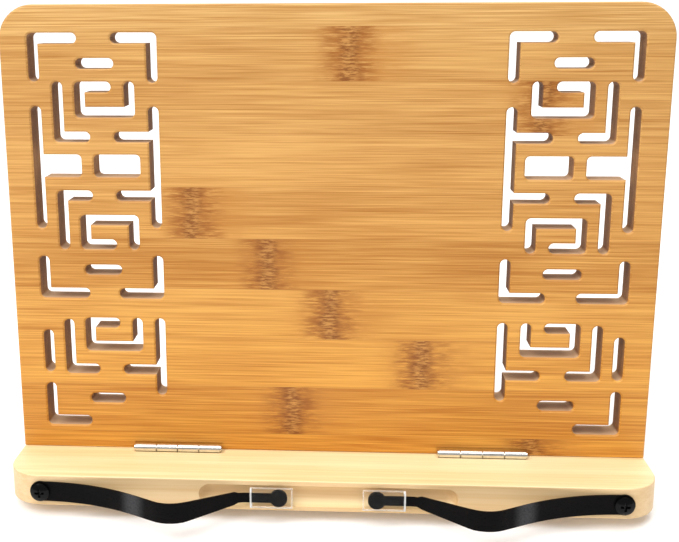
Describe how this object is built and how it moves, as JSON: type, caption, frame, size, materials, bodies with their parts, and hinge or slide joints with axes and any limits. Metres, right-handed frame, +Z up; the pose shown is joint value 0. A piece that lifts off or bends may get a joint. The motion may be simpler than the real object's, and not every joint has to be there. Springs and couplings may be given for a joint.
{
  "type": "photo album stand",
  "caption": "Folding bamboo stand: fretwork back panel, hinged ledge with two swinging page clips, and a notched rear prop held by a wire bail.",
  "frame": {"origin": "on the table, under the centre of the bounding box, standing open as in use", "axes": "+X to the right seen from the front, +Y to the back, +Z up from the table"},
  "size_m": [0.34, 0.1538, 0.2563],
  "materials": {
    "bamboo": "satin clear lacquer on caramel bamboo strips",
    "pale_bamboo": "satin clear lacquer on pale wood",
    "nickel_hinge": "bright nickel plate",
    "bright_screw": "bright zinc plate",
    "black_spring_steel": "satin black",
    "black_screw": "gloss black",
    "clear_vinyl": "clear, glossy",
    "steel_wire": "bright drawn wire",
    "zinc_bracket": "zinc plate"
  },
  "bodies": {
    "panel": {"back_panel": "bamboo", "left_hinge_panel_leaf": "nickel_hinge", "left_hinge_pin": "nickel_hinge", "left_hinge_panel_screws": "bright_screw", "right_hinge_panel_leaf": "nickel_hinge", "right_hinge_pin": "nickel_hinge", "right_hinge_panel_screws": "bright_screw", "prop_hinge_panel_leaf": "nickel_hinge", "prop_hinge_pin": "nickel_hinge", "prop_hinge_panel_screws": "bright_screw", "left_bail_bracket": "zinc_bracket", "left_bail_bracket_screws": "bright_screw", "right_bail_bracket": "zinc_bracket", "right_bail_bracket_screws": "bright_screw"},
    "ledge": {"ledge": "pale_bamboo", "left_hinge_ledge_leaf": "nickel_hinge", "left_hinge_ledge_screws": "bright_screw", "right_hinge_ledge_leaf": "nickel_hinge", "right_hinge_ledge_screws": "bright_screw", "left_clip_screw": "black_screw", "right_clip_screw": "black_screw"},
    "left_clip": {"left_page_clip": "black_spring_steel"},
    "right_clip": {"right_page_clip": "black_spring_steel"},
    "left_sleeve": {"left_clip_sleeve": "clear_vinyl"},
    "right_sleeve": {"right_clip_sleeve": "clear_vinyl"},
    "prop": {"prop_board": "bamboo", "prop_hinge_prop_leaf": "nickel_hinge", "prop_hinge_prop_screws": "bright_screw"},
    "bail": {"wire_bail": "steel_wire"}
  },
  "joints": [
    {"name": "ledge_fold", "type": "hinge", "parent": "panel", "child": "ledge", "pos_m": [0, -0.01939, 0.02031], "axis": [-1, 0, 0], "range_deg": [0, 90]},
    {"name": "prop_fold", "type": "hinge", "parent": "panel", "child": "prop", "pos_m": [0, 0.01934, 0.16513], "axis": [-1, 0, 0], "range_deg": [0, 24]},
    {"name": "bail_fold", "type": "hinge", "parent": "panel", "child": "bail", "pos_m": [0, 0.00165, 0.03564], "axis": [1, 0, 0], "range_deg": [0, 54.66]},
    {"name": "left_clip_swing", "type": "hinge", "parent": "ledge", "child": "left_clip", "pos_m": [-0.1502, -0.05424, 0.01521], "axis": [0, 0.9903, -0.1392], "range_deg": [-100, 0]},
    {"name": "right_clip_swing", "type": "hinge", "parent": "ledge", "child": "right_clip", "pos_m": [0.1502, -0.05424, 0.01521], "axis": [0, -0.9903, 0.1392], "range_deg": [-100, 0]},
    {"name": "left_sleeve_slide", "type": "slide", "parent": "left_clip", "child": "left_sleeve", "axis": [1, 0, 0], "range_m": [-0.005, 0.008]},
    {"name": "right_sleeve_slide", "type": "slide", "parent": "right_clip", "child": "right_sleeve", "axis": [-1, 0, 0], "range_m": [-0.005, 0.008]}
  ],
  "couplings": [
    {"joint": "bail_fold", "follows": "prop_fold", "ratio": 2.2771}
  ]
}
